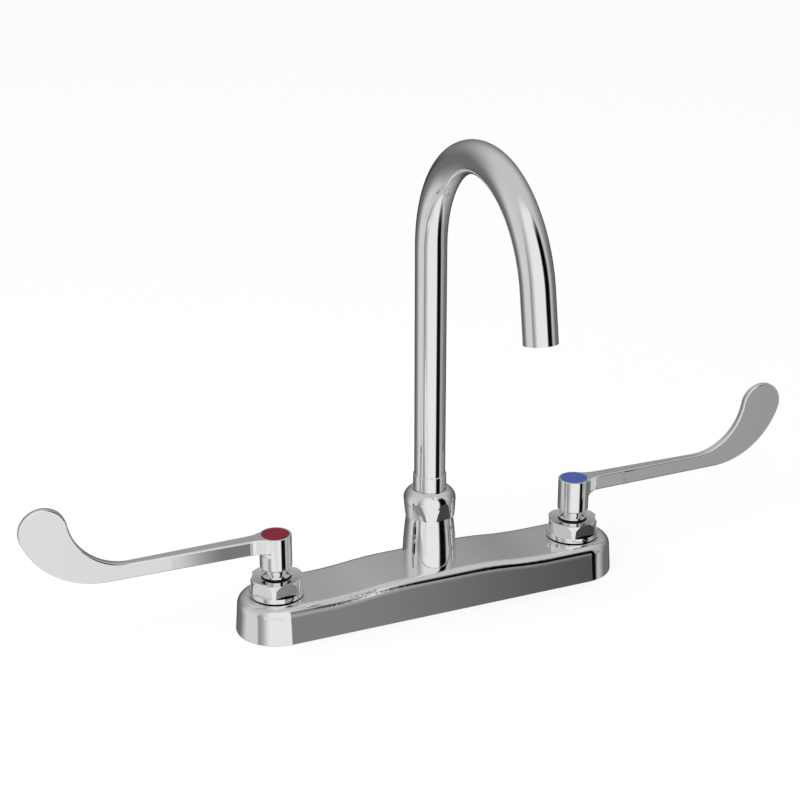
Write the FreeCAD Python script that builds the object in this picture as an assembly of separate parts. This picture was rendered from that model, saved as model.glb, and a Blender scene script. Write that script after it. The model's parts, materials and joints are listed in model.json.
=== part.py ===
import FreeCAD, Part
import math
import os

# Deck-mounted two-handle faucet with a swivelling gooseneck spout and wrist blade handles.
# Millimetres. +X runs along the handles towards cold, -Y is the front, +Z is up.
# The origin is the centre of the underside, on the deck.

V = FreeCAD.Vector
UP = V(0, 0, 1)
ALONG = V(1, 0, 0)
CENTRE = V(0, 0, 0)

# Fits shared by many pieces
thread_clearance = 0.05
static_clearance = 0.10
running_clearance = 0.06
free_clearance = 0.30
seal_clearance = 0.03
cut_margin = 1.0

# Deck body casting
handle_spacing = 203.2
body_width = 50.8
body_draft = 3.7
end_height = 22.8
crown_height = 25.9
crown_flat = 41.0
crown_run = 55.0
body_edge_radius = 5.8
body_foot_radius = 0.5
body_wall = 3.2
body_roof = 3.6
gasket_thickness = 2.0
gasket_clearance = 0.2

# Spout pedestal, part of the casting
pedestal_base_radius = 17.0
pedestal_middle_radius = 16.4
pedestal_top_radius = 14.4
pedestal_middle_height = 37.5
pedestal_top = 57.7
spout_bore_radius = 10.0
spout_bore_depth = 27.5
spout_neck_wall = 2.6
spout_neck_height = 9.7
riser_well_radius = 7.5
riser_well_floor = 6.0

# Valve pockets and waterways in the casting
pocket_radius = 11.0
pocket_floor = 9.0
pocket_neck_wall = 2.0
pocket_neck_height = 8.6
boss_wall = 4.5
inlet_port_radius = 5.2
waterway_radius = 4.2
waterway_wall = 3.0
waterway_height = 13.6

# Inlet shanks under the deck, with their washers and locknuts
shank_radius = 10.45
shank_bore_radius = 6.4
shank_socket_depth = 4.5
shank_drop = 52.0
shank_end_chamfer = 1.0
shank_relief_height = -32.0
shank_relief_width = 2.2
shank_relief_depth = 1.2
clamped_deck = 20.0
washer_radius = 19.0
washer_thickness = 1.6
locknut_across_flats = 31.8
locknut_height = 8.0
locknut_chamfer = 1.5

# Bonnet nuts over the valve necks. A lift is a height above the casting's ends.
bonnet_seat_gap = 0.5
bonnet_flange_radius = 16.6
bonnet_flange_height = 3.4
bonnet_foot_radius = 16.4
bonnet_radius = 16.1
bonnet_mouth_radius = 9.3
bonnet_top_lift = 12.2
bonnet_dish = 0.7
bonnet_shoulder = 0.9
bonnet_flat_distance = 14.7
bonnet_arch_lift = 5.4
bonnet_arch_radius = 7.7
bonnet_clocking = 4.5
bonnet_edge = 0.6

# Ceramic quarter-turn cartridges
cartridge_wall = 2.0
cartridge_relief = 1.0
cartridge_flange_thickness = 1.9
cartridge_flange_inset = 0.3
seal_height = 2.0
seal_proud = 0.5
seal_bore_radius = 5.2
fixed_disc_thickness = 3.0
moving_disc_thickness = 2.6
disc_hub_radius = 1.8
disc_rim = 1.3
disc_port_angle = 70.0
driver_thickness = 3.0
driver_lobe_angle = 80.0
chamber_play = 0.2
window_width = 8.0
window_height = 4.0
cartridge_groove_lift = 2.7
cartridge_groove_depth = 1.6
groove_width = 2.2

# Valve stems, clips and handle screws
stem_radius = 4.5
stem_spline_depth = 0.6
stem_spline_teeth = 16
stem_groove_lift = 7.2
stem_groove_depth = 1.1
stem_groove_width = 1.5
clip_radius = 6.4
clip_thickness = 0.8
clip_groove_depth = 0.6
clip_opening = 70.0
screw_radius = 1.95
screw_length = 14.0
screw_tip_room = 1.5
screw_head_radius = 3.8
screw_head_height = 2.4
screw_socket_across_flats = 2.5
screw_socket_depth = 1.4

# Wrist blade handles
hub_radius = 9.8
hub_bottom_lift = 18.8
hub_top_lift = 39.9
hub_edge_radius = 0.6
hub_web = 2.0
hub_neck_radius = 6.3
hub_neck_lift = 11.8
hub_collar_radius = 9.0
hub_collar_lift = 13.6
hub_collar_rim = 1.2
hub_collar_rise = 0.3
button_radius = 8.4
button_thickness = 2.2
button_skirt_radius = 5.4
button_skirt_wall = 0.9
button_skirt_depth = 2.3
button_edge = 0.3
screw_well_radius = 5.6
arm_depth = 9.6
arm_root_radius = 3.0
blade_reach = 153.4
blade_rise = 42.8
blade_tip_radius = 14.2
blade_inner_radius = 36.4
blade_outer_radius = 50.9
blade_root_thickness = 9.5
blade_tip_thickness = 3.1
blade_edge_radius = 1.0
blade_flare_radius = 20.0

# Spout nut
spout_nut_bottom = 58.0
spout_nut_top = 74.8
spout_nut_radius = 16.05
spout_nut_foot_radius = 15.9
spout_nut_shoulder_height = 8.7
spout_nut_mouth_band = 1.0
spout_nut_flat_distance = 15.0
spout_nut_flat_tilt = 5.5
spout_nut_clocking = 10.0

# Swivelling ferrule at the foot of the spout
ferrule_radius = 10.2
ferrule_top = 84.7
ferrule_flange_thickness = 2.8
ferrule_bore_radius = 6.4
ferrule_stem_end_gap = 1.8
ferrule_edge = 0.4
tube_socket_depth = 8.2
bearing_ring_thickness = 1.9
spout_groove_depth = 1.8
spout_groove_width = 2.4
spout_groove_heights = (49.0, 60.5)

# Gooseneck tube
tube_radius = 9.525
tube_wall = 1.2
arch_radius = 67.0
arch_centre_height = 230.1
arch_sweep = 170.05
tail_length = 27.75
tube_end_chamfer = 0.3

# Flow insert hidden inside the outlet
insert_recess = 1.2
insert_length = 11.0
insert_wall = 1.6
insert_lip_height = 0.6
insert_lip_width = 0.7
insert_groove_height = 8.6
insert_groove_depth = 1.0
insert_groove_width = 1.5
straightener_thickness = 4.4
straightener_hole_radius = 0.42
straightener_hole_pitch = 1.25
straightener_rim = 0.8
restrictor_thickness = 2.6
restrictor_hole_radius = 0.6
restrictor_hole_circle = 3.6
restrictor_hole_count = 8

# Places that follow from the sizes above
half_spacing = handle_spacing / 2
half_width = body_width / 2
draft_slope = math.tan(math.radians(body_draft))
cavity_roof = end_height - body_roof
pocket_neck_radius = pocket_radius + pocket_neck_wall
pocket_neck_top = end_height + pocket_neck_height
bonnet_top = end_height + bonnet_top_lift
bonnet_arch_centre = end_height + bonnet_arch_lift
cartridge_groove_height = end_height + cartridge_groove_lift
stem_groove_height = end_height + stem_groove_lift
hub_neck_bottom = end_height + hub_neck_lift
hub_collar_bottom = end_height + hub_collar_lift
hub_bottom = end_height + hub_bottom_lift
hub_top = end_height + hub_top_lift
socket_top = gasket_thickness + shank_socket_depth
boss_radius = pocket_radius + boss_wall
spout_neck_radius = spout_bore_radius + spout_neck_wall
spout_neck_top = pedestal_top + spout_neck_height
spout_bore_floor = spout_neck_top - spout_bore_depth

cartridge_radius = pocket_radius - static_clearance
cartridge_bottom = pocket_floor + seal_proud
chamber_radius = cartridge_radius - cartridge_wall
cartridge_flange_radius = pocket_neck_radius - cartridge_flange_inset
cartridge_flange_top = pocket_neck_top + cartridge_flange_thickness
fixed_disc_bottom = pocket_floor + seal_height
moving_disc_bottom = fixed_disc_bottom + fixed_disc_thickness
driver_bottom = moving_disc_bottom + moving_disc_thickness
driver_top = driver_bottom + driver_thickness
chamber_top = driver_top + chamber_play
moving_radius = chamber_radius - free_clearance

clip_bottom = cartridge_flange_top + static_clearance
clip_top = clip_bottom + clip_thickness
button_bottom = hub_top - button_thickness
screw_head_bottom = button_bottom - button_skirt_depth - screw_head_height + static_clearance
stem_top = screw_head_bottom - hub_web

ferrule_flange_bottom = spout_neck_top + running_clearance
ferrule_flange_top = ferrule_flange_bottom + ferrule_flange_thickness
ferrule_stem_radius = spout_bore_radius - running_clearance
ferrule_stem_bottom = spout_bore_floor + ferrule_stem_end_gap
bearing_ring_top = ferrule_flange_top + bearing_ring_thickness
spout_nut_lip_bottom = bearing_ring_top + running_clearance
spout_nut_hole_radius = ferrule_radius + free_clearance
spout_nut_bore_radius = spout_neck_radius + thread_clearance
tube_foot = ferrule_top - tube_socket_depth
tube_bore_radius = tube_radius - tube_wall

tail_tilt = 180.0 - arch_sweep


def bar(radius, low, high):
    """Round bar standing on the Z axis."""
    return Part.makeCylinder(radius, high - low, V(0, 0, low))


def ring(outer, inner, low, high):
    """Round bar with a round bore right through it."""
    return bar(outer, low, high).cut(bar(inner, low - cut_margin, high + cut_margin))


def block(x_low, x_high, y_low, y_high, z_low, z_high):
    """Rectangular block between two corners."""
    return Part.makeBox(x_high - x_low, y_high - y_low, z_high - z_low, V(x_low, y_low, z_low))


def upright_face(start, steps):
    """Face in the XZ plane; a step of four numbers is an arc given by its middle and its end."""
    edges = []
    here = V(start[0], 0, start[1])
    for step in steps:
        there = V(step[-2], 0, step[-1])
        if len(step) == 4:
            edges.append(Part.Arc(here, V(step[0], 0, step[1]), there).toShape())
        else:
            edges.append(Part.makeLine(here, there))
        here = there
    edges.append(Part.makeLine(here, V(start[0], 0, start[1])))
    return Part.Face(Part.Wire(edges))


def turned(start, steps):
    """Solid of revolution about Z from a profile of radius and height."""
    return upright_face(start, steps).revolve(CENTRE, UP, 360)


def arc_point(centre, radius, degrees):
    """Point on a circle in the XZ plane, as a pair."""
    turn = math.radians(degrees)
    return (centre[0] + radius * math.cos(turn), centre[1] + radius * math.sin(turn))


def hexagon(across_flats, low, high):
    """Six-sided bar standing on the Z axis."""
    corner_radius = across_flats / 2 / math.cos(math.radians(30))
    corners = [V(*arc_point((0, 0), corner_radius, 60 * k), 0) for k in range(7)]
    face = Part.Face(Part.makePolygon(corners))
    face.translate(V(0, 0, low))
    return face.extrude(V(0, 0, high - low))


def splined_bar(tip_radius, low, high):
    """Toothed bar that keys the handle to its stem."""
    corners = []
    for k in range(2 * stem_spline_teeth):
        radius = tip_radius - stem_spline_depth * (k % 2)
        x, y = arc_point((0, 0), radius, 180.0 * k / stem_spline_teeth)
        corners.append(V(x, y, low))
    corners.append(corners[0])
    return Part.Face(Part.makePolygon(corners)).extrude(V(0, 0, high - low))


def sectors(radius, angle, low, high, first):
    """Two opposite wedges of a round bar, centred on the direction given in degrees."""
    wedges = []
    for middle in (first, first + 180):
        wedge = Part.makeCylinder(radius, high - low, V(0, 0, low), UP, angle)
        wedge.rotate(CENTRE, UP, middle - angle / 2)
        wedges.append(wedge)
    return wedges[0].fuse(wedges[1])


def o_ring(bore_radius, floor_radius, height):
    """Rubber ring that fills the gap between a groove floor and a bore."""
    section = (bore_radius - floor_radius) / 2 - seal_clearance
    return Part.makeTorus((bore_radius + floor_radius) / 2, section, V(0, 0, height), UP)


def with_arched_flats(nut, distance, low, arch_centre, arch_radius, clocking):
    """Nut with six upright flats, each milled from the side with a round cutter, so its top is an arch."""
    for k in range(6):
        cutter = Part.makeCylinder(arch_radius, distance, V(0, -distance, arch_centre), V(0, -1, 0))
        upper = block(-arch_radius, arch_radius, -2 * distance, 0, low, arch_centre + arch_radius)
        cutter = cutter.common(upper)
        cutter.rotate(CENTRE, UP, clocking + 60 * k)
        nut = nut.cut(cutter)
    return nut


def with_leaning_flats(nut, distance, low, tilt, clocking):
    """Nut with six flats whose tops lean outwards until they run out of the nut."""
    reach = 2 * distance
    for k in range(6):
        cutter = block(-reach, reach, -distance - reach, -distance, low, low + reach)
        cutter.rotate(V(0, -distance, low), ALONG, tilt)
        cutter.rotate(CENTRE, UP, clocking + 60 * k)
        nut = nut.cut(cutter)
    return nut


def drafted_stadium(half, low, high, slope):
    """Long block with round ends on the handle axes, narrowing upwards from its half width."""
    foot = half - low * slope
    head = half - high * slope
    profile = [V(0, -foot, low), V(0, foot, low), V(0, head, high), V(0, -head, high), V(0, -foot, low)]
    body = Part.Face(Part.makePolygon(profile)).extrude(V(handle_spacing, 0, 0))
    body.translate(V(-half_spacing, 0, 0))
    for x in (-half_spacing, half_spacing):
        if slope > 0:
            end = Part.makeCone(foot, head, high - low, V(x, 0, low))
        else:
            end = Part.makeCylinder(foot, high - low, V(x, 0, low))
        body = body.fuse(end)
    return body.removeSplitter()


def crown_face():
    """Side view of the body: level ends that rise in smooth curves to a level middle."""
    drop = crown_height - end_height
    radius = (crown_run ** 2 + drop ** 2) / (4 * drop)
    lean = math.degrees(math.asin(crown_run / 2 / radius))
    inner = crown_flat / 2
    outer = inner + crown_run
    reach = half_spacing + body_width
    upper = arc_point((inner, crown_height - radius), radius, 90 - lean / 2)
    middle = (inner + crown_run / 2, (crown_height + end_height) / 2)
    lower = arc_point((outer, end_height + radius), radius, 270 - lean / 2)
    steps = [
        (reach, -cut_margin),
        (reach, end_height),
        (outer, end_height),
        lower + middle,
        upper + (inner, crown_height),
        (-inner, crown_height),
        (-upper[0], upper[1], -middle[0], middle[1]),
        (-lower[0], lower[1], -outer, end_height),
        (-reach, end_height),
    ]
    return upright_face((-reach, -cut_margin), steps)


def body_shell():
    """Outer form of the casting with its rounded top edge, hollow from below."""
    crown = crown_face().extrude(V(0, 2 * body_width, 0))
    crown.translate(V(0, -body_width, 0))
    shell = drafted_stadium(half_width, 0, crown_height + cut_margin, draft_slope).common(crown)
    shell = shell.removeSplitter()
    rim = [edge for edge in shell.Edges if is_body_rim(edge)]
    shell = shell.makeFillet(body_edge_radius, rim)
    foot = [edge for edge in shell.Edges if edge.BoundBox.ZMax < cut_margin / 2]
    shell = shell.makeFillet(body_foot_radius, foot)
    return shell.cut(drafted_stadium(half_width - body_wall, 0, cavity_roof, draft_slope))


def is_body_rim(edge):
    """True for a top edge that runs along the outline and not across the body."""
    return edge.BoundBox.ZMin > end_height - cut_margin and edge.BoundBox.XLength > cut_margin


def valve_pocket_core(x):
    """Everything drilled out on one handle axis."""
    core = bar(pocket_radius, pocket_floor, pocket_neck_top + cut_margin)
    core = core.fuse(bar(inlet_port_radius, socket_top - cut_margin, pocket_floor + cut_margin))
    core = core.fuse(bar(shank_radius + thread_clearance, 0, socket_top))
    core.translate(V(x, 0, 0))
    return core


def waterway(radius):
    """Straight passage between the two valve pockets, through the centre."""
    return Part.makeCylinder(radius, handle_spacing, V(-half_spacing, 0, waterway_height), ALONG)


def deck_body():
    """One casting: shell, valve bosses and necks, waterway and spout pedestal."""
    casting = body_shell()
    for x in (-half_spacing, half_spacing):
        boss = bar(boss_radius, gasket_thickness, cavity_roof + cut_margin)
        neck = bar(pocket_neck_radius, cavity_roof, pocket_neck_top)
        for piece in (boss, neck):
            piece.translate(V(x, 0, 0))
            casting = casting.fuse(piece)
    pedestal = turned(
        (0, gasket_thickness),
        [
            (pedestal_base_radius, gasket_thickness),
            (pedestal_base_radius, end_height),
            (pedestal_middle_radius, pedestal_middle_height, pedestal_top_radius, pedestal_top),
            (spout_neck_radius, pedestal_top),
            (spout_neck_radius, spout_neck_top),
            (0, spout_neck_top),
        ],
    )
    casting = casting.fuse(pedestal)
    casting = casting.fuse(waterway(waterway_radius + waterway_wall))
    casting = casting.cut(bar(spout_bore_radius, spout_bore_floor, spout_neck_top + cut_margin))
    casting = casting.cut(bar(riser_well_radius, riser_well_floor, spout_bore_floor + cut_margin))
    casting = casting.cut(waterway(waterway_radius))
    for x in (-half_spacing, half_spacing):
        casting = casting.cut(valve_pocket_core(x))
    return casting.removeSplitter()


def deck_gasket():
    """Flat sheet that closes the underside, with a hole for each shank."""
    sheet = drafted_stadium(half_width - body_wall - gasket_clearance, 0, gasket_thickness, draft_slope)
    for x in (-half_spacing, half_spacing):
        hole = bar(shank_radius + free_clearance, -cut_margin, gasket_thickness + cut_margin)
        hole.translate(V(x, 0, 0))
        sheet = sheet.cut(hole)
    return sheet


def inlet_shank():
    """Supply tube that screws into a valve boss, with a groove between its two threads."""
    inner_end = shank_bore_radius + shank_end_chamfer
    relief_low = shank_relief_height - shank_relief_width
    relief = ring(2 * shank_radius, shank_radius - shank_relief_depth, relief_low, shank_relief_height)
    shank = turned(
        (shank_bore_radius, socket_top),
        [
            (shank_radius, socket_top),
            (shank_radius, -shank_drop + shank_end_chamfer),
            (shank_radius - shank_end_chamfer, -shank_drop),
            (inner_end, -shank_drop),
            (shank_bore_radius, -shank_drop + shank_end_chamfer),
        ],
    )
    return shank.cut(relief)


def shank_washer():
    """Plain washer that bears on the underside of the deck."""
    top = -clamped_deck
    return ring(washer_radius, shank_radius + static_clearance, top - washer_thickness, top)


def shank_locknut():
    """Hexagon nut with chamfered corners, run up under the washer."""
    top = -clamped_deck - washer_thickness
    bottom = top - locknut_height
    half_flats = locknut_across_flats / 2
    corner = half_flats / math.cos(math.radians(30))
    blank = turned(
        (0, bottom),
        [
            (half_flats, bottom),
            (corner, bottom + locknut_chamfer),
            (corner, top - locknut_chamfer),
            (half_flats, top),
            (0, top),
        ],
    )
    nut = hexagon(locknut_across_flats, bottom, top).common(blank)
    return nut.cut(bar(shank_radius + thread_clearance, bottom - cut_margin, top + cut_margin))


def bonnet_nut():
    """Chromed cap nut that holds a cartridge down, with a flange and a slightly dished top."""
    foot = end_height + bonnet_seat_gap
    flange_top = foot + bonnet_flange_height
    shoulder_centre = (bonnet_radius - bonnet_shoulder, bonnet_top - bonnet_shoulder)
    shoulder_middle = arc_point(shoulder_centre, bonnet_shoulder, 45)
    blank = turned(
        (pocket_neck_radius + thread_clearance, foot),
        [
            (bonnet_flange_radius - bonnet_edge, foot),
            (bonnet_flange_radius, foot + bonnet_edge),
            (bonnet_flange_radius, flange_top - bonnet_edge),
            (bonnet_foot_radius, flange_top),
            (bonnet_radius, bonnet_top - bonnet_shoulder),
            shoulder_middle + (bonnet_radius - bonnet_shoulder, bonnet_top),
            (bonnet_mouth_radius, bonnet_top - bonnet_dish),
            (bonnet_mouth_radius, cartridge_flange_top),
            (pocket_neck_radius + thread_clearance, cartridge_flange_top),
        ],
    )
    return with_arched_flats(
        blank, bonnet_flat_distance, flange_top, bonnet_arch_centre, bonnet_arch_radius, bonnet_clocking
    )


def cartridge_body():
    """Housing that carries the discs below and guides the stem above."""
    waist_low = moving_disc_bottom + free_clearance
    waist_high = chamber_top + free_clearance
    waist_radius = cartridge_radius - cartridge_relief
    housing = bar(cartridge_radius, cartridge_bottom, pocket_neck_top)
    housing = housing.fuse(bar(cartridge_flange_radius, pocket_neck_top, cartridge_flange_top))
    housing = housing.cut(bar(chamber_radius, cartridge_bottom - cut_margin, chamber_top))
    stem_bore = bar(stem_radius + running_clearance, chamber_top, cartridge_flange_top + cut_margin)
    housing = housing.cut(stem_bore)
    housing = housing.cut(ring(pocket_radius, waist_radius, waist_low, waist_high))
    groove_floor = cartridge_radius - cartridge_groove_depth
    groove_low = cartridge_groove_height - groove_width / 2
    housing = housing.cut(ring(pocket_radius, groove_floor, groove_low, groove_low + groove_width))
    window = block(
        -pocket_radius, pocket_radius, -window_width / 2, window_width / 2,
        chamber_top - window_height, chamber_top,
    )
    return housing.cut(window.cut(bar(stem_radius, chamber_top - window_height, chamber_top)))


def ported_disc(radius, low, high, port_direction):
    """Lapped ceramic disc with two opposite ports."""
    ports = sectors(radius - disc_rim, disc_port_angle, low - cut_margin, high + cut_margin, port_direction)
    ports = ports.cut(bar(disc_hub_radius, low - cut_margin, high + cut_margin))
    return bar(radius, low, high).cut(ports)


def fixed_disc():
    """Lower disc, still in the housing."""
    radius = chamber_radius - static_clearance
    return ported_disc(radius, fixed_disc_bottom, moving_disc_bottom, 90)


def moving_disc():
    """Upper disc, turned by the stem; its ports lie across the lower ones when closed."""
    return ported_disc(moving_radius, moving_disc_bottom, driver_bottom, 0)


def seat_seal():
    """Rubber ring under the fixed disc that seals on the pocket floor."""
    return ring(chamber_radius - static_clearance, seal_bore_radius, pocket_floor, fixed_disc_bottom)


def cartridge_o_ring():
    """Rubber ring round the housing."""
    floor_radius = cartridge_radius - cartridge_groove_depth
    return o_ring(pocket_radius, floor_radius, cartridge_groove_height)


def valve_stem():
    """Stem with two driving lobes below, a ring groove, a clip groove and a splined head."""
    lobes = sectors(moving_radius, driver_lobe_angle, driver_bottom, driver_top, 90)
    stem = bar(stem_radius, driver_bottom, clip_top).fuse(lobes)
    stem = stem.fuse(splined_bar(stem_radius, clip_top, stem_top))
    groove_low = stem_groove_height - stem_groove_width / 2
    groove_high = groove_low + stem_groove_width
    stem = stem.cut(ring(2 * stem_radius, stem_radius - stem_groove_depth, groove_low, groove_high))
    stem = stem.cut(ring(2 * stem_radius, stem_radius - clip_groove_depth, clip_bottom, clip_top))
    hole_bottom = screw_head_bottom - screw_length - screw_tip_room
    return stem.cut(bar(screw_radius + thread_clearance, hole_bottom, stem_top + cut_margin))


def stem_o_ring():
    """Rubber ring round the stem."""
    return o_ring(stem_radius + running_clearance, stem_radius - stem_groove_depth, stem_groove_height)


def stem_clip():
    """Open spring clip that keeps the stem in its housing."""
    inner = stem_radius - clip_groove_depth + thread_clearance
    clip = ring(clip_radius, inner, clip_bottom, clip_top)
    start = V(0, 0, clip_bottom - cut_margin)
    depth = clip_thickness + 2 * cut_margin
    return clip.cut(Part.makeCylinder(2 * clip_radius, depth, start, UP, clip_opening))


def handle_screw():
    """Cap screw that holds the handle on its stem."""
    head_top = screw_head_bottom + screw_head_height
    screw = bar(screw_head_radius, screw_head_bottom, head_top)
    screw = screw.fuse(bar(screw_radius, screw_head_bottom - screw_length, screw_head_bottom))
    socket_floor = head_top - screw_socket_depth
    return screw.cut(hexagon(screw_socket_across_flats, socket_floor, head_top + cut_margin))


def index_button():
    """Coloured disc that snaps into the top of the hub."""
    skirt_bottom = button_bottom - button_skirt_depth
    skirt_inner = button_skirt_radius - button_skirt_wall
    rim = button_radius - button_edge
    return turned(
        (0, button_bottom),
        [
            (skirt_inner, button_bottom),
            (skirt_inner, skirt_bottom),
            (button_skirt_radius, skirt_bottom),
            (button_skirt_radius, button_bottom),
            (button_radius, button_bottom),
            (button_radius, hub_top - button_edge),
            (rim, hub_top),
            (0, hub_top),
        ],
    )


def blade_side_face():
    """Side view of the arm and its upturned paddle, all arcs tangent."""
    low = hub_top - arm_depth
    tip = (blade_reach - blade_tip_radius, hub_top + blade_rise - blade_tip_radius)
    outer_z = low + blade_outer_radius
    inner_z = hub_top + blade_inner_radius
    outer_gap = blade_outer_radius - blade_tip_radius
    inner_gap = blade_inner_radius + blade_tip_radius
    outer_x = tip[0] - math.sqrt(outer_gap ** 2 - (outer_z - tip[1]) ** 2)
    inner_x = tip[0] - math.sqrt(inner_gap ** 2 - (inner_z - tip[1]) ** 2)
    outer_turn = math.degrees(math.atan2(tip[1] - outer_z, tip[0] - outer_x))
    inner_turn = math.degrees(math.atan2(tip[1] - inner_z, tip[0] - inner_x))
    outer_end = arc_point((outer_x, outer_z), blade_outer_radius, outer_turn)
    outer_middle = arc_point((outer_x, outer_z), blade_outer_radius, (outer_turn - 90) / 2)
    tip_middle = arc_point(tip, blade_tip_radius, (outer_turn + 180 + inner_turn) / 2)
    inner_start = arc_point((inner_x, inner_z), blade_inner_radius, inner_turn)
    inner_middle = arc_point((inner_x, inner_z), blade_inner_radius, (inner_turn - 90) / 2)
    steps = [
        (outer_x, low),
        outer_middle + outer_end,
        tip_middle + inner_start,
        inner_middle + (inner_x, hub_top),
        (0, hub_top),
    ]
    return upright_face((0, low), steps)


def blade_plan_face(height):
    """Plan view of the arm: tapering to the paddle and flaring into the hub."""
    taper = math.atan((blade_root_thickness - blade_tip_thickness) / 2 / blade_reach)
    normal = V(math.sin(taper), math.cos(taper), 0)
    run = V(math.cos(taper), -math.sin(taper), 0)
    reach = hub_radius + blade_flare_radius
    offset = blade_root_thickness / 2 * math.cos(taper) + blade_flare_radius
    centre = normal * offset + run * math.sqrt(reach ** 2 - offset ** 2)
    on_side = centre - normal * blade_flare_radius
    on_hub = centre * (hub_radius / reach)
    between = (on_side + on_hub) * 0.5 - centre
    middle = centre + between * (blade_flare_radius / between.Length)
    past_tip = on_side + run * blade_reach

    def mirrored(point):
        return V(point.x, -point.y, 0)

    edges = [
        Part.Arc(on_hub, middle, on_side).toShape(),
        Part.makeLine(on_side, past_tip),
        Part.makeLine(past_tip, mirrored(past_tip)),
        Part.makeLine(mirrored(past_tip), mirrored(on_side)),
        Part.Arc(mirrored(on_side), mirrored(middle), mirrored(on_hub)).toShape(),
        Part.makeLine(mirrored(on_hub), on_hub),
    ]
    face = Part.Face(Part.Wire(edges))
    face.translate(V(0, 0, height))
    return face


def blade():
    """Wrist blade with softly rounded edges, before it joins the hub."""
    side = blade_side_face().extrude(V(0, 4 * hub_radius, 0))
    side.translate(V(0, -2 * hub_radius, 0))
    plan = blade_plan_face(0).extrude(V(0, 0, 2 * (hub_top + blade_rise)))
    solid = side.common(plan).removeSplitter()
    return solid.makeFillet(blade_edge_radius, [edge for edge in solid.Edges if is_blade_rim(edge)])


def arm_root():
    """Hollow rounding between the hub and the underside of the arm."""
    low = hub_top - arm_depth
    centre = (hub_radius + arm_root_radius, low - arm_root_radius)
    lowest = (hub_radius, low - arm_root_radius)
    profile = [
        (hub_radius + arm_root_radius, low),
        arc_point(centre, arm_root_radius, 135) + lowest,
        (hub_radius - cut_margin, low - arm_root_radius),
    ]
    collar = turned((hub_radius - cut_margin, low), profile)
    plan = blade_plan_face(lowest[1]).extrude(V(0, 0, arm_root_radius))
    return collar.common(plan)


def is_blade_rim(edge):
    """True for the edges between the broad faces and the narrow ones."""
    middle = edge.valueAt((edge.FirstParameter + edge.LastParameter) / 2)
    straight_up = edge.BoundBox.XLength < 0.01 and edge.BoundBox.YLength < 0.01
    return abs(middle.y) > 0.1 and not straight_up


def handle():
    """Hub with its collared neck and wrist blade in one casting, bored for the stem, screw and button."""
    centre = (hub_radius - hub_edge_radius, hub_top - hub_edge_radius)
    rim_middle = arc_point(centre, hub_edge_radius, 45)
    collar_top = hub_collar_bottom + hub_collar_rim
    hub = turned(
        (0, hub_neck_bottom),
        [
            (hub_neck_radius, hub_neck_bottom),
            (hub_neck_radius, hub_collar_bottom),
            (hub_collar_radius, hub_collar_bottom),
            (hub_collar_radius, collar_top),
            (hub_neck_radius, collar_top + hub_collar_rise),
            (hub_neck_radius, hub_bottom),
            (hub_radius - hub_edge_radius, hub_bottom),
            (hub_radius, hub_bottom + hub_edge_radius),
            (hub_radius, hub_top - hub_edge_radius),
            rim_middle + (hub_radius - hub_edge_radius, hub_top),
            (0, hub_top),
        ],
    )
    casting = hub.fuse(blade()).fuse(arm_root()).removeSplitter()
    spline_low = hub_neck_bottom - cut_margin
    casting = casting.cut(splined_bar(stem_radius + static_clearance, spline_low, stem_top))
    screw_hole_radius = screw_radius + free_clearance
    casting = casting.cut(bar(screw_hole_radius, stem_top - cut_margin, screw_head_bottom + cut_margin))
    casting = casting.cut(bar(screw_well_radius, screw_head_bottom, hub_top + cut_margin))
    return casting.cut(bar(button_radius + static_clearance, button_bottom, hub_top + cut_margin))


def spout_nut():
    """Domed nut that holds the ferrule on the pedestal and lets it turn."""
    shoulder = spout_nut_top - spout_nut_shoulder_height
    mouth = spout_nut_hole_radius + spout_nut_mouth_band
    quarter = math.radians(45)
    dome_middle = (
        mouth + (spout_nut_radius - mouth) * math.cos(quarter),
        shoulder + spout_nut_shoulder_height * math.sin(quarter),
    )
    waist = (spout_nut_bottom + shoulder) / 2
    blank = turned(
        (spout_nut_bore_radius, spout_nut_bottom),
        [
            (spout_nut_foot_radius, spout_nut_bottom),
            (spout_nut_radius, waist),
            (spout_nut_radius, shoulder),
            dome_middle + (mouth, spout_nut_top),
            (spout_nut_hole_radius, spout_nut_top),
            (spout_nut_hole_radius, spout_nut_lip_bottom),
            (spout_nut_bore_radius, spout_nut_lip_bottom),
        ],
    )
    return with_leaning_flats(
        blank, spout_nut_flat_distance, spout_nut_bottom, spout_nut_flat_tilt, spout_nut_clocking
    )


def spout_ferrule():
    """Swivel fitting: stem with two ring grooves, captured flange, and the socket for the tube."""
    flange_radius = spout_nut_bore_radius - free_clearance
    fitting = bar(ferrule_stem_radius, ferrule_stem_bottom, ferrule_flange_bottom)
    fitting = fitting.fuse(bar(flange_radius, ferrule_flange_bottom, ferrule_flange_top))
    collar = turned(
        (0, ferrule_flange_top),
        [
            (ferrule_radius, ferrule_flange_top),
            (ferrule_radius, ferrule_top - ferrule_edge),
            (ferrule_radius - ferrule_edge, ferrule_top),
            (0, ferrule_top),
        ],
    )
    fitting = fitting.fuse(collar)
    bore_low = ferrule_stem_bottom - cut_margin
    fitting = fitting.cut(bar(ferrule_bore_radius, bore_low, tube_foot + cut_margin))
    fitting = fitting.cut(bar(tube_radius + thread_clearance, tube_foot, ferrule_top + cut_margin))
    floor_radius = spout_bore_radius - spout_groove_depth
    for height in spout_groove_heights:
        low = height - spout_groove_width / 2
        fitting = fitting.cut(ring(2 * spout_bore_radius, floor_radius, low, low + spout_groove_width))
    return fitting.removeSplitter()


def spout_o_rings():
    """The two rings that seal the turning ferrule in the pedestal."""
    floor_radius = spout_bore_radius - spout_groove_depth
    rings = [o_ring(spout_bore_radius, floor_radius, height) for height in spout_groove_heights]
    return Part.makeCompound(rings)


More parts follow.
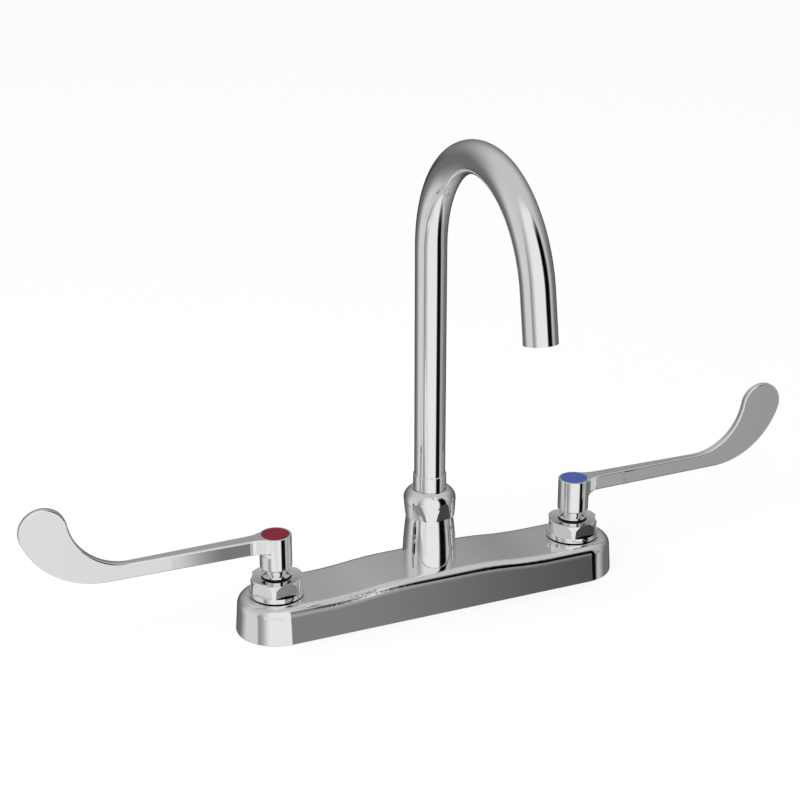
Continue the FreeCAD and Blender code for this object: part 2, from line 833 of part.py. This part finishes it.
def spout_bearing_ring():
    """Low-friction ring between the ferrule's flange and the nut's lip."""
    outer = spout_nut_bore_radius - free_clearance
    return ring(outer, ferrule_radius + thread_clearance, ferrule_flange_top, bearing_ring_top)


def gooseneck_path():
    """Centre line of the spout: riser, arch and straight tail."""
    centre = V(0, -arch_radius, arch_centre_height)

    def on_arch(degrees):
        turn = math.radians(degrees)
        return centre + V(0, math.cos(turn), math.sin(turn)) * arch_radius

    start = on_arch(0)
    end = on_arch(arch_sweep)
    turn = math.radians(arch_sweep)
    outlet = end + V(0, -math.sin(turn), math.cos(turn)) * tail_length
    edges = [
        Part.makeLine(V(0, 0, tube_foot), start),
        Part.Arc(start, on_arch(arch_sweep / 2), end).toShape(),
        Part.makeLine(end, outlet),
    ]
    return Part.Wire(edges), outlet


def place_at_outlet(shape):
    """Move a piece built with its mouth at the origin to the end of the spout."""
    shape.rotate(CENTRE, ALONG, -tail_tilt)
    shape.translate(gooseneck_path()[1])
    return shape


def gooseneck_tube():
    """Bent tube of even wall, its outlet edge just broken."""
    path = gooseneck_path()[0]

    def swept(radius):
        circle = Part.Wire(Part.makeCircle(radius, V(0, 0, tube_foot), UP))
        return path.makePipeShell([circle], True, False)

    tube = swept(tube_radius).cut(swept(tube_bore_radius))
    outside = tube_radius + cut_margin
    edge_cutter = turned(
        (tube_radius - tube_end_chamfer, -cut_margin),
        [(outside, -cut_margin), (outside, tube_end_chamfer + cut_margin)],
    )
    return tube.cut(place_at_outlet(edge_cutter))


def outlet_insert():
    """Sleeve screwed inside the outlet, with a lip below and a ring groove."""
    outer = tube_bore_radius - static_clearance
    inner = outer - insert_wall
    top = insert_recess + insert_length
    sleeve = ring(outer, inner - insert_lip_width, insert_recess, top)
    sleeve = sleeve.cut(bar(inner, insert_recess + insert_lip_height, top + cut_margin))
    low = insert_groove_height - insert_groove_width / 2
    groove = ring(tube_radius, outer - insert_groove_depth, low, low + insert_groove_width)
    return place_at_outlet(sleeve.cut(groove))


def insert_core_radius():
    """Radius of the discs that sit inside the outlet sleeve."""
    return tube_bore_radius - static_clearance - insert_wall - static_clearance


def flow_straightener():
    """Disc of fine parallel holes that steadies the stream."""
    low = insert_recess + insert_lip_height
    high = low + straightener_thickness
    radius = insert_core_radius()
    rows = int(radius / straightener_hole_pitch) + 1
    row_pitch = straightener_hole_pitch * math.sqrt(3) / 2
    holes = []
    for row in range(-rows, rows + 1):
        for column in range(-rows, rows + 1):
            x = (column + 0.5 * (row % 2)) * straightener_hole_pitch
            y = row * row_pitch
            if math.hypot(x, y) < radius - straightener_rim - straightener_hole_radius:
                hole = bar(straightener_hole_radius, low - cut_margin, high + cut_margin)
                hole.translate(V(x, y, 0))
                holes.append(hole)
    return place_at_outlet(bar(radius, low, high).cut(Part.makeCompound(holes)))


def flow_restrictor():
    """Disc above the straightener with a circle of small holes."""
    low = insert_recess + insert_lip_height + straightener_thickness
    disc = bar(insert_core_radius(), low, low + restrictor_thickness)
    for k in range(restrictor_hole_count):
        x, y = arc_point((0, 0), restrictor_hole_circle, 360.0 * k / restrictor_hole_count)
        hole = bar(restrictor_hole_radius, low - cut_margin, low + restrictor_thickness + cut_margin)
        hole.translate(V(x, y, 0))
        disc = disc.cut(hole)
    return place_at_outlet(disc)


def outlet_o_ring():
    """Rubber ring that seals the insert in the tube."""
    outer = tube_bore_radius - static_clearance
    return place_at_outlet(o_ring(tube_bore_radius, outer - insert_groove_depth, insert_groove_height))


def on_side(shape, side):
    """Copy a piece built on the Z axis to the hot (-1) or cold (+1) handle axis."""
    placed = shape.copy()
    if side < 0:
        placed.rotate(CENTRE, UP, 180)
    placed.translate(V(side * half_spacing, 0, 0))
    return placed


def all_nodes():
    """Every sub-part by name."""
    nodes = {
        "deck_body": deck_body(),
        "deck_gasket": deck_gasket(),
        "spout_nut": spout_nut(),
        "spout_ferrule": spout_ferrule(),
        "spout_o_rings": spout_o_rings(),
        "spout_bearing_ring": spout_bearing_ring(),
        "gooseneck_tube": gooseneck_tube(),
        "outlet_insert": outlet_insert(),
        "flow_straightener": flow_straightener(),
        "flow_restrictor": flow_restrictor(),
        "outlet_o_ring": outlet_o_ring(),
    }
    both_sides = {
        "inlet_shank": inlet_shank(),
        "bonnet_nut": bonnet_nut(),
        "cartridge_body": cartridge_body(),
        "fixed_disc": fixed_disc(),
        "moving_disc": moving_disc(),
        "seat_seal": seat_seal(),
        "cartridge_o_ring": cartridge_o_ring(),
        "valve_stem": valve_stem(),
        "stem_o_ring": stem_o_ring(),
        "stem_clip": stem_clip(),
        "handle_screw": handle_screw(),
        "index_button": index_button(),
        "wrist_handle": handle(),
    }
    for name, shape in both_sides.items():
        nodes["hot_" + name] = on_side(shape, -1)
        nodes["cold_" + name] = on_side(shape, 1)
    pairs = {"shank_washers": shank_washer(), "shank_locknuts": shank_locknut()}
    for name, shape in pairs.items():
        nodes[name] = Part.makeCompound([on_side(shape, -1), on_side(shape, 1)])
    return nodes


os.makedirs("parts", exist_ok=True)
for node_name, node_shape in all_nodes().items():
    node_shape.exportStep(os.path.join("parts", node_name + ".step"))
    print(node_name, len(node_shape.Solids), node_shape.isValid(), round(node_shape.Volume, 1))
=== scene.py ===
import json
import math

import bpy
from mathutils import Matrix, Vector

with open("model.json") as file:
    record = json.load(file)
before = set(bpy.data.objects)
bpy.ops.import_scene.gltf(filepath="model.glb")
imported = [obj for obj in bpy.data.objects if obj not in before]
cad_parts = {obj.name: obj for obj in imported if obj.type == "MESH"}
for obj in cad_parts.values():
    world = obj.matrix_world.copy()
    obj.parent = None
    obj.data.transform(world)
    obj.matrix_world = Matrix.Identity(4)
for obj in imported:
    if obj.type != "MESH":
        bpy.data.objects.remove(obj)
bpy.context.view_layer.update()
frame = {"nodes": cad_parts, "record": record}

# Camera at the photograph's place. Azimuth and elevation are those of the line from the target to the
# camera, in degrees. Distance, target, and the near and far end of its sight are in metres, lens and sensor
# in millimetres.
camera_azimuth = -23.904
camera_elevation = 21.747
camera_distance = 1.11988
camera_target = Vector((-0.019937, 0.0, 0.135797))
camera_near = 0.05
camera_far = 50.0
camera_lens = 83.96
camera_sensor = 36.0

# Light that falls on the object and on the floor: power in watts, sizes and places in metres, the rest as
# shares of full white
white = (1, 1, 1, 1)
soft_light = 0.62
lamp_power = 13.0
lamp_size = 1.6
lamp_place = Vector((-1.1, -1.0, 1.6))
floor_half = 3.0
floor_glow = 0.76
floor_white = 0.32

# Studio that the chrome mirrors. Shades run from 0 for black to 1 for white as they look in the chrome,
# which returns its share of the light, on a display with that curve. Azimuths are degrees round the object,
# 0 in front and growing towards the cold handle, and elevations are degrees above the horizon. A pair of
# elevations is where something fades out, then where it is full.
chrome_share = 0.90
display_curve = 2.2
back_shade = 0.41
ceiling_shade = 0.75
ceiling_bottom = (-9, 58)
floor_shade = 0.74
floor_top = (-20, -85)

# Upright panels of the studio: shade, then the azimuths where one begins, is full, is still full and ends
side_panels = (
    (0.80, -152, -112, -80, -68),
    (0.56, -80, -68, -50, -40),
    (0.71, 30, 40, 60, 90),
)
front_panel = (0.895, -72, -40, 30, 40)
front_panel_top = (85, 60)
front_flag = (0.06, 15, 27, 44, 58)
flag_top = (60, 36)
flag_bottom = (-90, -35)

# Round dark screen behind the object: shade, azimuth of its middle, and how much of a ray points that way
# where the screen fades out and where it is full
back_screen_shade = 0.25
back_screen_azimuth = 156
back_screen_edge = (0.66, 0.90)
back_screen_top = (2, -10)

# Upright cards close to the object that only the chrome sees, in metres: left end, right end and depth,
# then lower and upper edge, then shade and place along X of the two spots that the card is graded between
studio_cards = {
    "corner_card": ((0.1045, 0.1075, -0.026), (-0.003, 0.0195), (0.05, 0.104), (0.05, 0.108)),
    "hot_nut_card": ((-0.099, -0.082, -0.032), (0.0165, 0.0295), (0.51, -0.099), (0.49, -0.082)),
    "cold_nut_card": ((0.122, 0.150, -0.060), (-0.010, 0.0125), (0.28, 0.128), (0.26, 0.150)),
    "left_blade_card": ((-0.330, -0.116, -0.155), (-0.034, 0.045), (0.865, -0.30), (0.845, -0.12)),
    "left_arm_card": ((-0.165, -0.116, -0.014), (0.044, 0.059), (0.80, -0.165), (0.46, -0.130)),
    "right_root_card": ((0.121, 0.153, -0.030), (0.0385, 0.075), (0.62, 0.127), (0.61, 0.137)),
    "right_fillet_card": ((0.1142, 0.1194, -0.008), (0.040, 0.0645), (0.79, 0.114), (0.77, 0.119)),
    "right_blade_card": ((0.236, 0.410, -0.155), (-0.031, 0.140), (0.60, 0.236), (0.58, 0.410)),
}

# Card right in front of the casting's long face, in metres. Its upper edge follows the casting's crown: on
# both sides it goes down from the crown's half width and height to the shoulder's. Each of its two shades
# stands beside its place along X, and the strip just under the edge is lighter by the lift.
face_card_ends = (-0.1013, 0.1045)
face_card_y = -0.026
face_card_bottom = -0.003
face_card_columns = 60
face_card_crown = (0.0205, 0.0234)
face_card_shoulder = (0.0755, 0.0203)
face_card_shades = ((0.485, -0.0845), (0.305, 0.1505))
face_card_strip = (-0.0042, -0.0007)
face_card_lift = 0.15

# Marks of the finishes: how many spots of a noise lie in a metre, how they are stretched along X, Y and Z,
# the span of the noise over which they grow, and the depth of their relief in metres
noise_roughness = 0.55
middle_span = (0.3, 0.7)
chrome_haze_spots = 90.0
chrome_haze_span = (0.35, 0.75)
chrome_scratch_spots = 700.0
chrome_scratch_stretch = (1.0, 1.0, 14.0)
chrome_drop_spots = 85.0
chrome_drop_span = (0.13, 0.06)
chrome_drop_patches = 22.0
chrome_drop_patch_span = (0.56, 0.66)
enamel_mottle_spots = 260.0
enamel_skin_spots = 1400.0
enamel_skin_depth = 0.00002
machined_line_spots = 5200.0
machined_line_stretch = (0.04, 0.04, 1.0)
machined_line_depth = 0.00004
machined_stain_spots = 120.0
moulded_shade_spots = 150.0
moulded_grain_spots = 2600.0

# Roughness and gloss of the finishes: least and most roughness of chrome and enamel, what a mark adds to
# it, and how far the roughness of machined and moulded pieces goes down and up
chrome_roughness = (0.025, 0.06)
chrome_scratch_roughness = 0.02
chrome_drop_roughness = 0.05
enamel_roughness = (0.30, 0.42)
enamel_gloss = 0.15
machined_roughness = (-0.06, 0.08)
moulded_roughness = (-0.05, 0.07)

# Red, green and blue: what haze takes off the chrome, and the brass. Clear chrome is a little bluer.
chrome_haze_loss = (0.012, 0.008, 0.002)
chrome_blue = 0.004
brass_dark = (0.70, 0.50, 0.22)
brass_light = (0.84, 0.66, 0.36)

# Chrome: depth of its waves in metres, and how many lie in a metre
chrome_finishes = {
    "chrome_casting": (0.00004, 38.0),
    "chrome_tube": (0.00004, 30.0),
    "chrome_nuts": (0.00003, 60.0),
    "chrome_handles": (0.00006, 45.0),
}

# Enamel: dark and light colour
enamel_finishes = {
    "hot_enamel": ((0.23, 0.009, 0.028), (0.31, 0.014, 0.040)),
    "cold_enamel": ((0.065, 0.115, 0.44), (0.090, 0.150, 0.53)),
}

# Machined metal: dark and light colour, roughness
machined_finishes = {
    "shank_brass": (brass_dark, brass_light, 0.28),
    "stem_brass": (brass_dark, brass_light, 0.24),
    "insert_brass": (brass_dark, brass_light, 0.26),
    "zinc_steel": ((0.52, 0.53, 0.56), (0.68, 0.69, 0.71), 0.34),
    "stainless": ((0.58, 0.58, 0.59), (0.70, 0.70, 0.71), 0.26),
    "spring_steel": ((0.20, 0.20, 0.21), (0.32, 0.32, 0.33), 0.38),
}

# Rubber, plastic and ceramic: dark and light colour, roughness, depth of the grain in metres
moulded_finishes = {
    "disc_ceramic": ((0.84, 0.84, 0.81), (0.90, 0.90, 0.88), 0.20, 0.000005),
    "gasket_rubber": ((0.020, 0.020, 0.021), (0.040, 0.040, 0.041), 0.72, 0.00003),
    "seal_rubber": ((0.015, 0.015, 0.016), (0.032, 0.032, 0.033), 0.60, 0.00001),
    "bearing_plastic": ((0.82, 0.82, 0.79), (0.89, 0.89, 0.87), 0.42, 0.00001),
    # The cartridge housing is dark plastic. Its near-black also stands in for the shade in the narrow gap
    # under the hub, so part of it is painted shade.
    "cartridge_housing": ((0.020, 0.021, 0.022), (0.040, 0.041, 0.042), 0.46, 0.00001),
    "insert_plastic": ((0.70, 0.70, 0.70), (0.80, 0.80, 0.80), 0.40, 0.00001),
}


def put(tree, kind, inputs=None, **settings):
    """One shader node. Settings are its own fields; inputs are numbers, or sockets to link to."""
    node = tree.nodes.new(kind)
    for field, value in settings.items():
        setattr(node, field, value)
    for socket, value in (inputs or {}).items():
        if isinstance(value, bpy.types.NodeSocket):
            tree.links.new(value, node.inputs[socket])
        else:
            node.inputs[socket].default_value = value
    return node


def maths(tree, operation, first, second=0.0):
    """Result of one operation on two numbers."""
    return put(tree, "ShaderNodeMath", {0: first, 1: second}, operation=operation).outputs[0]


def step(tree, value, low, high, least=0.0, most=1.0):
    """Smooth step from least at low to most at high."""
    inputs = {"Value": value, "From Min": low, "From Max": high, "To Min": least, "To Max": most}
    return put(tree, "ShaderNodeMapRange", inputs, interpolation_type="SMOOTHSTEP").outputs["Result"]


def over(tree, under, shade, share):
    """One shade laid over another by a share from 0 to 1. The Mix node takes numbers in 2 and 3."""
    return put(tree, "ShaderNodeMix", {0: share, 2: under, 3: shade}).outputs[0]


def tint(tree, share, dark, light):
    """Colour between two by a share from 0 to 1. The Mix node takes colours in 6 and 7."""
    inputs = {0: share, 6: (*dark, 1), 7: (*light, 1)}
    return put(tree, "ShaderNodeMix", inputs, data_type="RGBA").outputs[2]


def place_of(tree, stretch=(1.0, 1.0, 1.0)):
    """Place on the object in metres, stretched along its axes."""
    here = put(tree, "ShaderNodeTexCoord").outputs["Object"]
    return put(tree, "ShaderNodeMapping", {"Vector": here, "Scale": stretch}).outputs[0]


def noise(tree, place, spots, detail):
    """Soft random value from 0 to 1 with that many spots to the metre, and finer ones by the detail."""
    inputs = {"Vector": place, "Scale": spots, "Detail": detail, "Roughness": noise_roughness}
    return put(tree, "ShaderNodeTexNoise", inputs).outputs["Fac"]


def relief(tree, height, depth):
    """Surface direction of a bumpy surface of that depth in metres."""
    return put(tree, "ShaderNodeBump", {"Height": height, "Distance": depth, "Strength": 1.0}).outputs[0]


def new_material(name):
    """Empty node material and its tree."""
    material = bpy.data.materials.new(name)
    material.use_nodes = True
    material.node_tree.nodes.clear()
    return material, material.node_tree


def surface(tree, **inputs):
    """Principled surface joined to the material's output."""
    names = {key.replace("_", " ").title(): value for key, value in inputs.items()}
    names = {key.replace("Ior", "IOR"): value for key, value in names.items()}
    shader = put(tree, "ShaderNodeBsdfPrincipled", names)
    put(tree, "ShaderNodeOutputMaterial", {"Surface": shader.outputs[0]})


def glow_strength(tree, shade):
    """Strength of light that looks like a shade from 0 to 1 once the chrome mirrors it."""
    return maths(tree, "DIVIDE", maths(tree, "POWER", shade, display_curve), chrome_share)


def flat_sheet(name, corners, faces):
    """Flat sheet that belongs to the studio."""
    mesh = bpy.data.meshes.new(name)
    mesh.from_pydata(corners, [], faces)
    sheet = bpy.data.objects.new(name, mesh)
    bpy.context.scene.collection.objects.link(sheet)
    return sheet


def add_camera():
    """The camera that sees what the photograph shows."""
    azimuth = math.radians(camera_azimuth)
    elevation = math.radians(camera_elevation)
    back = Vector((
        math.sin(azimuth) * math.cos(elevation),
        -math.cos(azimuth) * math.cos(elevation),
        math.sin(elevation),
    ))
    data = bpy.data.cameras.new("photo_camera")
    data.lens = camera_lens
    data.sensor_width = camera_sensor
    data.clip_start = camera_near
    data.clip_end = camera_far
    camera = bpy.data.objects.new("photo_camera", data)
    camera.location = camera_target + back * camera_distance
    camera.rotation_mode = "QUATERNION"
    camera.rotation_quaternion = (-back).to_track_quat("-Z", "Y")
    bpy.context.scene.collection.objects.link(camera)
    bpy.context.scene.camera = camera


def panel_share(tree, azimuth, edges):
    """How much of a panel shows in a direction round the object."""
    first, full, still_full, last = edges
    return maths(tree, "MULTIPLY", step(tree, azimuth, first, full), step(tree, azimuth, last, still_full))


def screen_share(tree, x, ahead, elevation):
    """How much of the back screen shows in the direction of a ray."""
    middle = math.radians(back_screen_azimuth)
    along = maths(tree, "MULTIPLY", x, math.sin(middle))
    along = maths(tree, "ADD", along, maths(tree, "MULTIPLY", ahead, math.cos(middle)))
    low_enough = step(tree, elevation, *back_screen_top)
    return maths(tree, "MULTIPLY", step(tree, along, *back_screen_edge), low_enough)


def studio_shade(tree):
    """Shade of the studio in the direction of a ray."""
    ray = put(tree, "ShaderNodeTexCoord").outputs["Generated"]
    x, y, z = put(tree, "ShaderNodeSeparateXYZ", {0: ray}).outputs
    ahead = maths(tree, "MULTIPLY", y, -1.0)
    azimuth = maths(tree, "DEGREES", maths(tree, "ARCTAN2", x, ahead))
    elevation = maths(tree, "DEGREES", maths(tree, "ARCSINE", z))
    shade = back_shade
    for panel in side_panels:
        shade = over(tree, shade, panel[0], panel_share(tree, azimuth, panel[1:]))
    shade = over(tree, shade, back_screen_shade, screen_share(tree, x, ahead, elevation))
    shade = over(tree, shade, ceiling_shade, step(tree, elevation, *ceiling_bottom))
    shade = over(tree, shade, floor_shade, step(tree, elevation, *floor_top))
    low_enough = step(tree, elevation, *front_panel_top)
    front = maths(tree, "MULTIPLY", panel_share(tree, azimuth, front_panel[1:]), low_enough)
    shade = over(tree, shade, front_panel[0], front)
    between = maths(tree, "MULTIPLY", step(tree, elevation, *flag_top), step(tree, elevation, *flag_bottom))
    flag = maths(tree, "MULTIPLY", panel_share(tree, azimuth, front_flag[1:]), between)
    return over(tree, shade, front_flag[0], flag)


def add_world():
    """White round the object for the camera, the studio for what mirrors it, and soft light for the rest."""
    world = bpy.data.worlds.new("studio")
    world.use_nodes = True
    world.cycles.sampling_method = "NONE"
    bpy.context.scene.world = world
    tree = world.node_tree
    tree.nodes.clear()
    path = put(tree, "ShaderNodeLightPath").outputs
    mirrored = maths(tree, "MAXIMUM", path["Is Glossy Ray"], path["Is Transmission Ray"])
    strength = over(tree, soft_light, glow_strength(tree, studio_shade(tree)), mirrored)
    strength = over(tree, strength, 1.0, path["Is Camera Ray"])
    light = put(tree, "ShaderNodeBackground", {"Color": white, "Strength": strength})
    put(tree, "ShaderNodeOutputWorld", {"Surface": light.outputs[0]})


def add_floor():
    """White floor at deck height that keeps the soft shadow and lets the chrome see the studio."""
    half = floor_half
    corners = [(-half, -half, 0), (half, -half, 0), (half, half, 0), (-half, half, 0)]
    floor = flat_sheet("floor", corners, [(0, 1, 2, 3)])
    material, tree = new_material("white_floor")
    path = put(tree, "ShaderNodeLightPath").outputs
    matt = put(tree, "ShaderNodeBsdfDiffuse", {"Color": (floor_white, floor_white, floor_white, 1)})
    glow = put(tree, "ShaderNodeEmission", {"Color": white, "Strength": floor_glow})
    bright = put(tree, "ShaderNodeAddShader", {0: matt.outputs[0], 1: glow.outputs[0]})
    clear = put(tree, "ShaderNodeBsdfTransparent")
    mirrored = maths(tree, "MAXIMUM", path["Is Glossy Ray"], path["Is Transmission Ray"])
    both = put(tree, "ShaderNodeMixShader", {0: mirrored, 1: bright.outputs[0], 2: clear.outputs[0]})
    put(tree, "ShaderNodeOutputMaterial", {"Surface": both.outputs[0]})
    floor.data.materials.append(material)


def hang_card(card, material, shade):
    """Light a card by its shade and show it to the chrome alone."""
    tree = material.node_tree
    glow = put(tree, "ShaderNodeEmission", {"Color": white, "Strength": glow_strength(tree, shade)})
    put(tree, "ShaderNodeOutputMaterial", {"Surface": glow.outputs[0]})
    card.data.materials.append(material)
    card.visible_camera = False
    card.visible_diffuse = False
    card.visible_shadow = False


def add_card(name, place, edges, left_shade, right_shade):
    """Upright card near the object, graded from left to right."""
    left, right, y = place
    bottom, top = edges
    corners = [(left, y, bottom), (right, y, bottom), (right, y, top), (left, y, top)]
    material, tree = new_material(name)
    x = put(tree, "ShaderNodeSeparateXYZ", {0: place_of(tree)}).outputs[0]
    shade = step(tree, x, left_shade[1], right_shade[1], left_shade[0], right_shade[0])
    hang_card(flat_sheet(name, corners, [(0, 1, 2, 3)]), material, shade)


def crown_edge(x):
    """Height of the long card's upper edge at one place along it, on the smooth step that shaders use."""
    (inner, high), (outer, low) = face_card_crown, face_card_shoulder
    share = min(max((abs(x) - inner) / (outer - inner), 0.0), 1.0)
    return high + (low - high) * share * share * (3.0 - 2.0 * share)


def add_face_card():
    """Card in front of the casting's long face, cut along its crown."""
    left, right = face_card_ends
    corners = []
    for column in range(face_card_columns + 1):
        x = left + (right - left) * column / face_card_columns
        corners.append((x, face_card_y, face_card_bottom))
        corners.append((x, face_card_y, crown_edge(x)))
    faces = [(2 * k, 2 * k + 2, 2 * k + 3, 2 * k + 1) for k in range(face_card_columns)]
    material, tree = new_material("face_card")
    x, _, z = put(tree, "ShaderNodeSeparateXYZ", {0: place_of(tree)}).outputs
    (left_shade, left_x), (right_shade, right_x) = face_card_shades
    shade = step(tree, x, left_x, right_x, left_shade, right_shade)
    (inner, high), (outer, low) = face_card_crown, face_card_shoulder
    edge = step(tree, maths(tree, "ABSOLUTE", x), inner, outer, high, low)
    lift = step(tree, maths(tree, "SUBTRACT", z, edge), *face_card_strip, 0.0, face_card_lift)
    hang_card(flat_sheet("face_card", corners, faces), material, maths(tree, "ADD", shade, lift))


def add_lamp():
    """Large soft lamp above the left shoulder of the camera; the chrome doesn't mirror it."""
    data = bpy.data.lights.new("soft_lamp", "AREA")
    data.size = lamp_size
    data.energy = lamp_power
    lamp = bpy.data.objects.new("soft_lamp", data)
    lamp.location = lamp_place
    lamp.rotation_mode = "QUATERNION"
    lamp.rotation_quaternion = (-lamp_place).to_track_quat("-Z", "Y")
    lamp.visible_glossy = False
    lamp.visible_camera = False
    bpy.context.scene.collection.objects.link(lamp)


def chrome(name, wave_depth, waves_per_metre):
    """Polished plate: broad waves of the metal below, polishing haze, fine scratches and dried drops."""
    material, tree = new_material(name)
    place = place_of(tree)
    waves = noise(tree, place, waves_per_metre, detail=1.0)
    haze = noise(tree, place, chrome_haze_spots, detail=4.0)
    scratches = noise(tree, place_of(tree, chrome_scratch_stretch), chrome_scratch_spots, detail=2.0)
    cells = {"Vector": place, "Scale": chrome_drop_spots, "Randomness": 1.0}
    drop = step(tree, put(tree, "ShaderNodeTexVoronoi", cells).outputs["Distance"], *chrome_drop_span)
    patch = step(tree, noise(tree, place, chrome_drop_patches, detail=0.0), *chrome_drop_patch_span)
    marks = maths(tree, "MULTIPLY", drop, patch)
    rough = step(tree, haze, *chrome_haze_span, *chrome_roughness)
    rough = maths(tree, "ADD", rough, maths(tree, "MULTIPLY", scratches, chrome_scratch_roughness))
    rough = maths(tree, "ADD", rough, maths(tree, "MULTIPLY", marks, chrome_drop_roughness))
    hazy = [chrome_share - loss for loss in chrome_haze_loss]
    clear = (chrome_share, chrome_share, chrome_share + chrome_blue)
    plate = tint(tree, haze, hazy, clear)
    surface(tree, base_color=plate, metallic=1.0, roughness=rough, normal=relief(tree, waves, wave_depth))
    return material


def enamel(name, dark, light):
    """Moulded coloured plastic with a faint mottle and a fine orange-peel skin."""
    material, tree = new_material(name)
    place = place_of(tree)
    mottle = noise(tree, place, enamel_mottle_spots, detail=4.0)
    skin = noise(tree, place, enamel_skin_spots, detail=2.0)
    rough = step(tree, mottle, *middle_span, *enamel_roughness)
    surface(tree, base_color=tint(tree, mottle, dark, light), roughness=rough,
            specular_ior_level=enamel_gloss, normal=relief(tree, skin, enamel_skin_depth))
    return material


def machined(name, dark, light, roughness):
    """Turned metal with fine tool lines round its upright axis."""
    material, tree = new_material(name)
    lines = noise(tree, place_of(tree, machined_line_stretch), machined_line_spots, detail=2.0)
    stain = noise(tree, place_of(tree), machined_stain_spots, detail=4.0)
    least, most = [roughness + change for change in machined_roughness]
    rough = step(tree, lines, *middle_span, least, most)
    surface(tree, base_color=tint(tree, stain, dark, light), metallic=1.0, roughness=rough,
            normal=relief(tree, lines, machined_line_depth))
    return material


def moulded(name, dark, light, roughness, grain_depth):
    """Rubber, plastic or ceramic with a fine grain and a slight change of shade."""
    material, tree = new_material(name)
    place = place_of(tree)
    shade = noise(tree, place, moulded_shade_spots, detail=4.0)
    grain = noise(tree, place, moulded_grain_spots, detail=2.0)
    least, most = [roughness + change for change in moulded_roughness]
    rough = step(tree, shade, *middle_span, least, most)
    surface(tree, base_color=tint(tree, shade, dark, light), roughness=rough,
            normal=relief(tree, grain, grain_depth))
    return material


def finish_nodes():
    """Give every CAD node the material of its slot."""
    kinds = (
        (chrome, chrome_finishes),
        (enamel, enamel_finishes),
        (machined, machined_finishes),
        (moulded, moulded_finishes),
    )
    finishes = {slot: kind(slot, *values) for kind, slots in kinds for slot, values in slots.items()}
    for subpart in frame["record"]["subparts"]:
        mesh = frame["nodes"][subpart["node"]].data
        mesh.materials.clear()
        mesh.materials.append(finishes[subpart["material_slot"]])


add_camera()
add_world()
add_floor()
for name, card in studio_cards.items():
    add_card(name, *card)
add_face_card()
add_lamp()
finish_nodes()
bpy.context.scene.view_settings.view_transform = "Standard"
